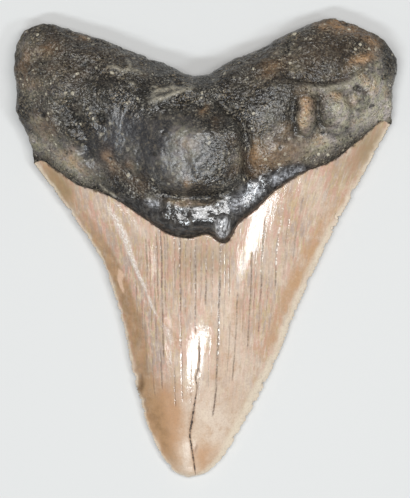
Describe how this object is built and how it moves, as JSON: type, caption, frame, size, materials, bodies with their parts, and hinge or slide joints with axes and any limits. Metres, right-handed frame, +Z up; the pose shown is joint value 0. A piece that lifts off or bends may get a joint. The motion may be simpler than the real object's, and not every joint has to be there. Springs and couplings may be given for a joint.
{
  "type": "megalodon tooth",
  "caption": "Fossil tooth of a giant shark: a broad triangular serrated crown under a thick two-lobed root, lying on its flat labial face.",
  "frame": {"origin": "centre of the tooth's outline seen from above, on the surface that it lies on", "axes": "+Y from the crown's tip to the root, +Z up out of the bulging lingual face, +X to the right seen from above"},
  "size_m": [0.0956, 0.1148, 0.0237],
  "materials": {
    "fossil_tooth": "satin tan enamel on the crown, dark grey-black mineralised bone on the root"
  },
  "bodies": {
    "root": {"tooth": "fossil_tooth"}
  },
  "joints": []
}
